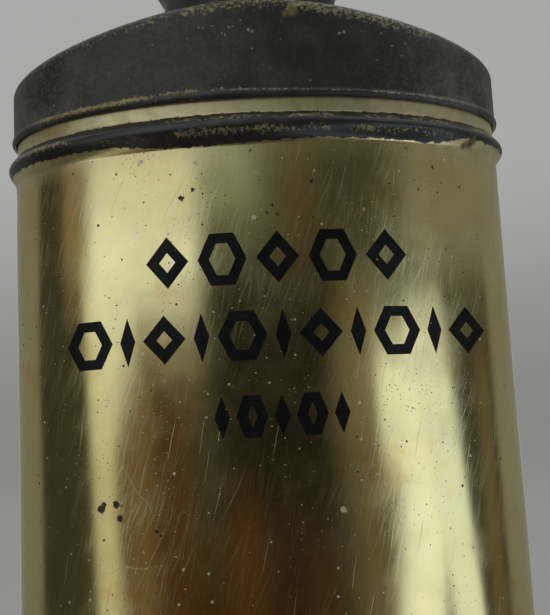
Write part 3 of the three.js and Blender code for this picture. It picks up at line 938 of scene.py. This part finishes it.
# Each row: how far its middle is under the skirt, its left end, the height of a mark, the gap, the marks.
PRINT_ROWS = (
    (16.75, -12.1, 5.4, 0.95, (LOZENGE, HEXAGON, LOZENGE, HEXAGON, LOZENGE)),
    (24.65, -20.9, 5.0, 0.82, (HEXAGON, PIP, LOZENGE, PIP) * 2 + (HEXAGON, PIP, LOZENGE)),
    (32.75, -5.7, 4.2, 0.6, (PIP, SMALL_HEXAGON, PIP, SMALL_HEXAGON, PIP)),
)


def printed_rows():
    """Each row of ornament, as one piece of ink."""
    rows = []
    for number, (drop, left, height, gap, shapes) in enumerate(PRINT_ROWS, 1):
        x = left
        marks = []
        for name, sides, width, first, hollow in shapes:
            corners = polygon(sides, width * MM, height * MM, first)
            marks.append(mark(name, corners, (x + width / 2) * MM, SKIRT_Z - drop * MM, hollow))
            x += width + gap
        rows.append(joined(f"printed_row_{number}", marks))
    return rows


def joined(name, pieces):
    """Several meshes as one piece."""
    with bpy.context.temp_override(active_object=pieces[0], selected_editable_objects=pieces):
        bpy.ops.object.join()
    pieces[0].name = pieces[0].data.name = name
    return pieces[0]


# ---- Studio ----
# The tin is lit by, and reflects, a surround of soft panels and dark flags, tuned to what its
# brass should show from the front. Directions are degrees round from the front (+ towards +X) and
# degrees above the horizon. Each panel: middle, half width, degrees it leans for each degree up,
# lowest, highest, softness across, softness up, colour.
GREY = (0.225, 0.235, 0.215)
PANELS = (
    (0, 95, 0, -90, 9, 7, 3, (0.045, 0.048, 0.036)),  # the dark room in front
    (-38, 57, 0, 0, 90, 7, 3, (0.045, 0.048, 0.036)),
    (28, 17, 0, 9, 90, 22, 3, (0.052, 0.058, 0.045)),
    (-4, 10, 0, 12, 90, 8, 4, (0.11, 0.135, 0.11)),
    (-9, 8, 0, 15.5, 90, 10, 4, (0.42, 0.49, 0.43)),
    (10, 6, 0, 11.5, 90, 8, 4, (0.11, 0.095, 0.065)),
    (3, 17, 0, -7, 10.5, 10, 4, (0.015, 0.0165, 0.014)),
    (-5, 24, 0, -60, -7, 8, 4, (0.050, 0.025, 0.013)),  # brown floor
    (-8, 5, 0, -11, -4.5, 5, 3, (0.085, 0.040, 0.013)),
    (5, 5, 0, -60, -5, 6, 3, (0.030, 0.017, 0.010)),
    (-30, 8, 0, -60, 4, 8, 6, (0.068, 0.033, 0.016)),
    (-40, 5, 0, -60, 5, 6, 6, (0.16, 0.11, 0.062)),
    (-31, 12, 0, 4, 9, 8, 4, (0.24, 0.23, 0.19)),
    (28, 7, 0, -2, 9, 12, 5, (0.20, 0.18, 0.125)),
    (29, 5, 0, -60, -2, 12, 5, (0.13, 0.11, 0.075)),
    (-67, 5, 0, 9, 90, 7, 5, (0.27, 0.20, 0.13)),
    (84, 6, 0, -60, 5, 5, 4, (0.13, 0.105, 0.065)),
    (-54.2, 5, -0.25, -60, 12, 4, 8, (0.66, 0.68, 0.56)),  # strip light on the left, and the soft box over it
    (-52, 7, 0, 0, 9, 6, 5, (0.85, 0.92, 0.88)),
    (-48, 8, 0, 4, 14, 6, 5, (0.88, 0.99, 1.02)),
    (-37, 19, 0, 8.3, 15.5, 7, 3, (1.0, 1.12, 1.20)),
    (-37, 21, 0, 15, 90, 12, 4, (0.76, 0.84, 0.83)),
    (39.5, 6, 0, -3, 5.5, 4, 3, (1.05, 1.22, 1.30)),  # window on the right
    (49, 8, 0.45, -60, 7, 4, 3, (1.12, 1.29, 1.45)),
    (56.3, 8, -0.6, -60, 7, 4, 3, (0.95, 1.10, 1.22)),
    (180, 22, 0, -60, 90, 18, 10, (0.75, 0.76, 0.74)),
)


def surround():
    """The world: an even grey room with the panels in it."""
    world = bpy.data.worlds.new("studio")
    world.use_nodes = True
    bpy.context.scene.world = world
    n = Nodes(world.node_tree)
    way = n.add("ShaderNodeSeparateXYZ", {0: n.add("ShaderNodeTexCoord").outputs["Generated"]})
    ahead = n.math("MULTIPLY", way.outputs[1], -1.0)
    round_front = n.math("DEGREES", n.math("ARCTAN2", way.outputs[0], ahead))
    up = n.math("DEGREES", n.math("ARCSINE", way.outputs[2]))
    overhead = n.smooth(up, 25, 70)
    colour = n.mix(overhead, (*GREY, 1), (0.75, 0.76, 0.78, 1))
    for middle, half, lean, low, high, soft, soft_up, shade in PANELS:
        off = n.math("SUBTRACT", n.math("MULTIPLY_ADD", up, -lean, round_front), middle)
        off = n.math("WRAP", off, 180.0, -180.0)
        across = n.smooth(n.math("ABSOLUTE", off), half + soft / 2, half - soft / 2)
        above = n.smooth(up, low - soft_up / 2, low + soft_up / 2)
        below = n.smooth(up, high + soft_up / 2, high - soft_up / 2)
        share = n.math("MULTIPLY", across, n.math("MULTIPLY", above, below))
        colour = n.mix(share, colour, (*shade, 1))
    background = n.add("ShaderNodeBackground", {"Color": colour, "Strength": 1.0})
    n.add("ShaderNodeOutputWorld", {"Surface": background.outputs[0]})


def cyclorama():
    """A pale floor that sweeps up into a pale wall all round, lit by its own painted glow that grows brighter
    up the wall.
    """
    radius, wall, bend = 1.6, 1.8, 0.7
    rings = [pole(-0.0002)]
    for r in np.linspace(0.05, radius - bend, 12):
        rings.append(ring(circle(r, turns(128)), -0.0002))
    for lean in arc(0, math.pi / 2, 16)[1:]:
        plan = circle(radius - bend + bend * math.sin(lean), turns(128))
        rings.append(ring(plan, bend * (1 - math.cos(lean))))
    rings.append(ring(circle(radius, turns(128)), wall))
    floor = loft_open("studio_floor", rings)
    material, n = new_material("studio_paper_painted_glow")
    height = n.add("ShaderNodeSeparateXYZ", {0: n.place()}).outputs[2]
    # Painted light: the paper glows, more strongly up the wall than on the floor.
    painted_glow = n.blend(n.smooth(height, 0, 600), 0.15, 0.34)
    shade = n.blend(n.noise(0.02, detail=2), 0.97, 1.0)
    colour = n.mix(shade, (0.12, 0.12, 0.117, 1), (0.16, 0.16, 0.156, 1))
    shader = n.add("ShaderNodeBsdfPrincipled", {"Base Color": colour, "Roughness": 0.9})
    shader.inputs["Specular IOR Level"].default_value = 0.1
    shader.inputs["Emission Color"].default_value = (0.99, 1, 0.98, 1)
    n.feed(shader.inputs["Emission Strength"], painted_glow)
    n.add("ShaderNodeOutputMaterial", {"Surface": shader.outputs[0]})
    floor.data.materials.append(material)
    floor.visible_glossy = False
    floor.visible_diffuse = False
    floor.visible_shadow = False


def loft_open(name, rings):
    """A loft that starts at a pole and is left open at its last ring."""
    piece = loft(name, [*rings, pole(0)])
    mesh = piece.data
    keep = [list(p.vertices) for p in mesh.polygons if len(mesh.vertices) - 1 not in p.vertices]
    points = [v.co[:] for v in mesh.vertices[:-1]]
    mesh.clear_geometry()
    mesh.from_pydata(points, [], keep)
    mesh.shade_smooth()
    return piece


def overhead_light():
    light = bpy.data.lights.new("overhead", "AREA")
    light.shape = "DISK"
    light.size = 0.9
    light.energy = 6.0
    holder = bpy.data.objects.new("overhead", light)
    bpy.context.scene.collection.objects.link(holder)
    holder.location = (-0.25, -0.35, 1.1)
    holder.rotation_euler = (Vector((0, 0, 0.05)) - holder.location).to_track_quat("-Z", "Y").to_euler()
    holder.visible_glossy = False


def camera():
    """A close view of the upper body from just under its shoulder."""
    sight = bpy.data.cameras.new("camera")
    sight.sensor_width = 36
    sight.lens = 52.7
    sight.clip_start = 0.005
    sight.clip_end = 20
    holder = bpy.data.objects.new("camera", sight)
    bpy.context.scene.collection.objects.link(holder)
    pitch, yaw, roll = math.radians(7.87), math.radians(-1.50), math.radians(2.87)
    aim = Matrix.Rotation(yaw, 3, "Z") @ Matrix.Rotation(pitch, 3, "X") @ Matrix.Rotation(roll, 3, "Y")
    right, forward, up = (aim.col[i] for i in range(3))
    turn = Matrix((right, up, -forward)).transposed().to_4x4()
    place = Vector((-0.052, -3.68, 0)) * HALF_WIDTH + Vector((0, 0, SKIRT_Z - 1.207 * HALF_WIDTH))
    holder.matrix_world = Matrix.Translation(place) @ turn
    bpy.context.scene.camera = holder


# ---- Wear, stored where each piece's material reads it ----
# Stretches of wear on the front: from, to (across from the middle) and how strong.
BEAD_UPPER_WEAR = ((-10, 2, 0.5), (3, 9, 0.62), (11, 15, 0.5), (16, 22, 0.55), (24, 30, 0.6))
BEAD_MIDDLE_WEAR = ((-30, -20, 0.55), (22.5, 30, 0.35))
BEAD_LOWER_WEAR = ((-17, -10, 0.32), (-9, 4, 0.62), (4, 8, 0.5), (9.5, 13, 0.62), (13, 22, 0.42))
RIDGE_WEAR = ((-26, -15, 0.30), (-15, -8, 0.34), (-8, 3, 0.44), (3, 20, 0.58), (20, 26, 0.3))
HEM_WEAR = ((-24, -10.5, 0.85), (-10, -5.5, 0.75), (-5, 4, 0.62), (4, 12, 0.46), (12, 24, 0.68))
BACK_WEAR = ((-30, 30, 0.42),)


def stretches(points, front):
    """How strong the wear is at each point, from stretches of it on the front and even wear behind."""
    across = points[:, 0] / MM
    strength = np.zeros(len(points))
    for is_front, rows in ((True, front), (False, BACK_WEAR)):
        side = (points[:, 1] < 0) == is_front
        for start, end, amount in rows:
            share = smooth(start - 1, start + 1, across) * (1 - smooth(end - 1, end + 1, across))
            strength = np.maximum(strength, amount * share * side)
    return strength


def line_at(z, height, reach):
    """A soft line at a height."""
    return np.exp(-(((z - height) / reach) ** 2))


def wear_body(piece):
    """band: how far inside the black band round the bead; wear: near the bead's rubbed edges."""
    points = vertices(piece)
    z = points[:, 2]
    across = points[:, 0]
    low = bead_foot(across) + 0.15 * MM + 0.07 * MM * np.sin(across / (6 * MM) + 0.5)
    low += 0.85 * MM * (1 - smooth(-17 * MM, -8 * MM, across)) + 1.0 * MM * smooth(18 * MM, 24 * MM, across)
    high = BEAD_TOP - 0.2 * MM
    store(piece, "band", np.minimum(z - low, high - z) / MM)
    wear = line_at(z, BEAD_TOP - 0.75 * MM, 0.35 * MM) * stretches(points, BEAD_UPPER_WEAR)
    wear += line_at(z, BEAD_BOTTOM + 0.75 * MM, 0.42 * MM) * stretches(points, BEAD_LOWER_WEAR)
    wear += line_at(z, BEAD_TOP - 1.3 * MM, 0.6 * MM) * stretches(points, BEAD_MIDDLE_WEAR)
    store(piece, "wear", wear)


def wear_shoulder(piece):
    """wear: on the ridge and in a line over the hem; pale film: even dust plus painted sheen at the ends,
    left of middle and low right.
    """
    points = vertices(piece)
    across = points[:, 0] / MM
    depth = (vault(points[:, :2]) - points[:, 2]) / MM
    out = np.hypot(points[:, 0] / HALF_WIDTH, points[:, 1] / HALF_DEPTH)
    ridge = (1 - smooth(1.1, 2.3, depth)) * smooth(0.86, 0.97, out)
    hem_height = 0.75 + 0.45 * np.exp(-(((across + 6) / 7) ** 2))
    thick = 0.17 + 0.20 * (1 - smooth(-14, -9, across))
    height = (points[:, 2] - SKIRT_Z) / MM
    hem = np.exp(-(((height - hem_height) / thick) ** 2))
    wear = ridge * stretches(points, RIDGE_WEAR)
    store(piece, "wear", np.maximum(wear, hem * stretches(points, HEM_WEAR)))
    # Painted sheen: the pale film is raised towards both ends, left of the middle and low on the right, where
    # the satin black catches light; the 0.30 under it is even dust.
    ends = smooth(12, 27, np.abs(across))
    left = np.exp(-(((across + 8) / 7) ** 2))
    painted_sheen_low_right = smooth(8, 18, across) * (1 - smooth(1.5, 7, height))
    store(piece, "dust_and_sheen", 0.30 + 1.05 * ends + 0.42 * left + 0.8 * painted_sheen_low_right)


def wear_by_height(piece, heights, reach, amount):
    """Wear round a turned piece, at these heights."""
    z = vertices(piece)[:, 2]
    wear = np.zeros(len(z))
    for height in heights:
        wear = np.maximum(wear, np.exp(-(((z - height) / reach) ** 2)))
    store(piece, "wear", amount * wear)


# ---- The tin, piece by piece ----
def dress(piece, body, node, material):
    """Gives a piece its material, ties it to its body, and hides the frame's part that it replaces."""
    piece.data.materials.clear()
    piece.data.materials.append(material)
    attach(piece, body)
    if node:
        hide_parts(node)


def build():
    black = black_material()
    brass_plain = plain_brass_material()
    tin = tin_material()
    ink = ink_material()

    wall = body_wall()
    wear_body(wall)
    unroll(wall)
    dress(wall, "body", "body_wall", body_material())
    base = base_plate()
    wear_by_height(base, [base_low.z + 0.3 * MM, base_high.z - 0.4 * MM], 0.35 * MM, 0.42)
    dress(base, "body", "base_plate", black)
    for row in printed_rows():
        sharp_edges(row)
        dress(row, "body", None, ink)

    top = shoulder()
    wear_shoulder(top)
    unroll(top)
    dress(top, "lid", "shoulder", shoulder_material())
    collar = neck()
    wear_by_height(collar, [neck_low.z, NECK_FLARE_TOP], 0.5 * MM, 0.35)
    dress(collar, "lid", "neck", black)
    plate = sifter_plate()
    dress(plate, "lid", "sifter_plate", brass_plain)
    dress(stop_pip(), "lid", None, brass_plain)
    pin, washer = rivet(), rivet_washer()
    dress(pin, "lid", "rivet", tin)
    dress(washer, "lid", "rivet_washer", tin)

    cap = sifter_cap()
    wear_by_height(cap, [cap_high.z, cap_low.z + 0.5 * MM], 0.3 * MM, 0.46)
    dress(cap, "cap", "sifter_cap", black)
    for piece in (wall, base, top, collar, plate, pin, washer, cap):
        sharp_edges(piece, 50)


bpy.context.scene.view_settings.view_transform = "Standard"
build()
surround()
cyclorama()
overhead_light()
camera()
